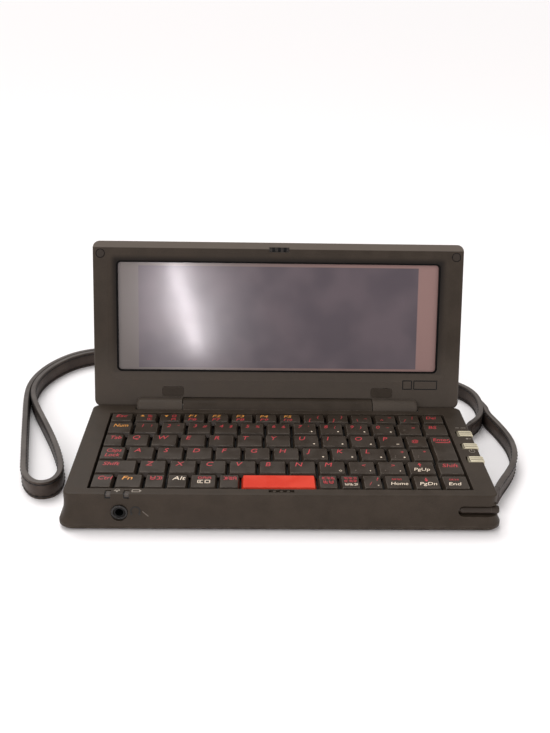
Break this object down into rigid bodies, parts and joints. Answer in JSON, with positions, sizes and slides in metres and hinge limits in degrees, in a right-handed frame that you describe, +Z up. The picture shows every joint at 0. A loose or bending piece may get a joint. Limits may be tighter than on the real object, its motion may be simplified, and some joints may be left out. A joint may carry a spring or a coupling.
{
  "type": "handheld computer",
  "caption": "Clamshell handheld computer with a wide hinged display lid, full keyboard deck, stylus in the front face, side buttons, headphone socket and a leather wrist strap.",
  "frame": {"origin": "on the table, under the middle of the open machine", "axes": "+X to the user's right along the hinge, +Y to the back, +Z up"},
  "size_m": [0.2546, 0.1779, 0.0951],
  "materials": {
    "case_plastic": "fine-textured matte, dark warm grey-brown",
    "stylus_plastic": "smooth satin, dark brown",
    "key_plastic": "matte, dark brown",
    "space_plastic": "matte, orange-red",
    "ivory_plastic": "satin ivory",
    "frame_plastic": "black, as moulded",
    "comb_metal": "dull grey",
    "screen": "glossy grey-violet touch film over glass",
    "lcd": "switched-off display glass, opaque",
    "bumper_rubber": "matte dark rubber",
    "dome_rubber": "matte grey silicone",
    "steel": "plain sheet and turned steel",
    "screws": "blackened steel",
    "circuit_board": "green solder resist",
    "chips": "black moulded packages",
    "cell_steel": "bright steel",
    "battery_wrap": "dark shrink wrap",
    "speaker_metal": "grey metal can",
    "jack_black": "black moulded",
    "jack_collar": "glossy black collar",
    "lens": "dark smoked lens",
    "cable": "black sleeved cable",
    "strap_leather": "black-brown stitched leather"
  },
  "bodies": {
    "base": {"base_upper_case": "case_plastic", "base_lower_case": "case_plastic", "keyboard_frame": "frame_plastic", "dome_sheet": "dome_rubber", "keyboard_plate": "steel", "left_hinge_pin": "steel", "right_hinge_pin": "steel", "main_board": "circuit_board", "board_chips": "chips", "backup_cell": "cell_steel", "battery_pack": "battery_wrap", "battery_cover": "case_plastic", "battery_cover_screws": "screws", "case_screws": "screws", "rubber_feet": "bumper_rubber", "speaker": "speaker_metal", "headphone_jack": "jack_black", "jack_ring": "jack_collar", "power_inlet": "jack_black", "button_board": "circuit_board", "charge_lens": "lens", "alert_lens": "lens", "latch_catch": "case_plastic", "display_cable_base": "cable", "rear_strap_pin": "steel", "front_strap_pin": "steel", "rear_strap_end": "strap_leather", "front_strap_end": "strap_leather", "strap": "strap_leather", "side_strap": "strap_leather", "strap_keeper": "strap_leather"},
    "lid": {"lid_back_shell": "case_plastic", "lid_bezel": "case_plastic", "lid_bumpers": "bumper_rubber", "hinge_tabs": "case_plastic", "lid_screws": "screws", "latch_comb": "comb_metal", "touch_panel": "screen", "display_panel": "lcd", "backlight_tray": "frame_plastic", "display_driver_board": "circuit_board", "display_cable_lid": "cable", "left_hinge_clip": "steel", "right_hinge_clip": "steel"},
    "stylus": {"stylus_barrel": "stylus_plastic", "stylus_head": "stylus_plastic", "stylus_tip": "stylus_plastic"},
    "row1_keys_body": {"row1_keys": "key_plastic"},
    "row2_keys_body": {"row2_keys": "key_plastic"},
    "row3_keys_body": {"row3_keys": "key_plastic"},
    "row4_keys_body": {"row4_keys": "key_plastic"},
    "row5_keys_body": {"row5_keys": "key_plastic"},
    "row6_keys_body": {"row6_keys": "key_plastic"},
    "space_key_body": {"space_key": "space_plastic"},
    "enter_key_body": {"enter_key": "key_plastic"},
    "left_shift_key_body": {"left_shift_key": "key_plastic"},
    "right_shift_key_body": {"right_shift_key": "key_plastic"},
    "rear_side_button_body": {"rear_side_button": "ivory_plastic"},
    "middle_side_button_body": {"middle_side_button": "ivory_plastic"},
    "front_side_button_body": {"front_side_button": "ivory_plastic"}
  },
  "joints": [
    {"name": "lid_hinge", "type": "hinge", "parent": "base", "child": "lid", "pos_m": [0, 0.025, 0.0159], "axis": [-1, 0, 0], "range_deg": [-106.4, 33.6]},
    {"name": "stylus_slide", "type": "slide", "parent": "base", "child": "stylus", "axis": [1, 0, 0], "range_m": [0, 0.084]},
    {"name": "row1_keys_press", "type": "slide", "parent": "base", "child": "row1_keys_body", "axis": [0, 0, -1], "range_m": [0, 0.0012], "stiffness_N_per_m": 900, "springref_m": -0.0006},
    {"name": "row2_keys_press", "type": "slide", "parent": "base", "child": "row2_keys_body", "axis": [0, 0, -1], "range_m": [0, 0.0012], "stiffness_N_per_m": 900, "springref_m": -0.0006},
    {"name": "row3_keys_press", "type": "slide", "parent": "base", "child": "row3_keys_body", "axis": [0, 0, -1], "range_m": [0, 0.0012], "stiffness_N_per_m": 900, "springref_m": -0.0006},
    {"name": "row4_keys_press", "type": "slide", "parent": "base", "child": "row4_keys_body", "axis": [0, 0, -1], "range_m": [0, 0.0012], "stiffness_N_per_m": 900, "springref_m": -0.0006},
    {"name": "row5_keys_press", "type": "slide", "parent": "base", "child": "row5_keys_body", "axis": [0, 0, -1], "range_m": [0, 0.0012], "stiffness_N_per_m": 900, "springref_m": -0.0006},
    {"name": "row6_keys_press", "type": "slide", "parent": "base", "child": "row6_keys_body", "axis": [0, 0, -1], "range_m": [0, 0.0012], "stiffness_N_per_m": 900, "springref_m": -0.0006},
    {"name": "space_key_press", "type": "slide", "parent": "base", "child": "space_key_body", "axis": [0, 0, -1], "range_m": [0, 0.0012], "stiffness_N_per_m": 900, "springref_m": -0.0006},
    {"name": "enter_key_press", "type": "slide", "parent": "base", "child": "enter_key_body", "axis": [0, 0, -1], "range_m": [0, 0.0012], "stiffness_N_per_m": 900, "springref_m": -0.0006},
    {"name": "left_shift_key_press", "type": "slide", "parent": "base", "child": "left_shift_key_body", "axis": [0, 0, -1], "range_m": [0, 0.0012], "stiffness_N_per_m": 900, "springref_m": -0.0006},
    {"name": "right_shift_key_press", "type": "slide", "parent": "base", "child": "right_shift_key_body", "axis": [0, 0, -1], "range_m": [0, 0.0012], "stiffness_N_per_m": 900, "springref_m": -0.0006},
    {"name": "rear_side_button_press", "type": "slide", "parent": "base", "child": "rear_side_button_body", "axis": [-1, 0, 0], "range_m": [0, 0.0007], "stiffness_N_per_m": 900, "springref_m": -0.0006},
    {"name": "middle_side_button_press", "type": "slide", "parent": "base", "child": "middle_side_button_body", "axis": [-1, 0, 0], "range_m": [0, 0.0007], "stiffness_N_per_m": 900, "springref_m": -0.0006},
    {"name": "front_side_button_press", "type": "slide", "parent": "base", "child": "front_side_button_body", "axis": [-1, 0, 0], "range_m": [0, 0.0007], "stiffness_N_per_m": 900, "springref_m": -0.0006}
  ]
}
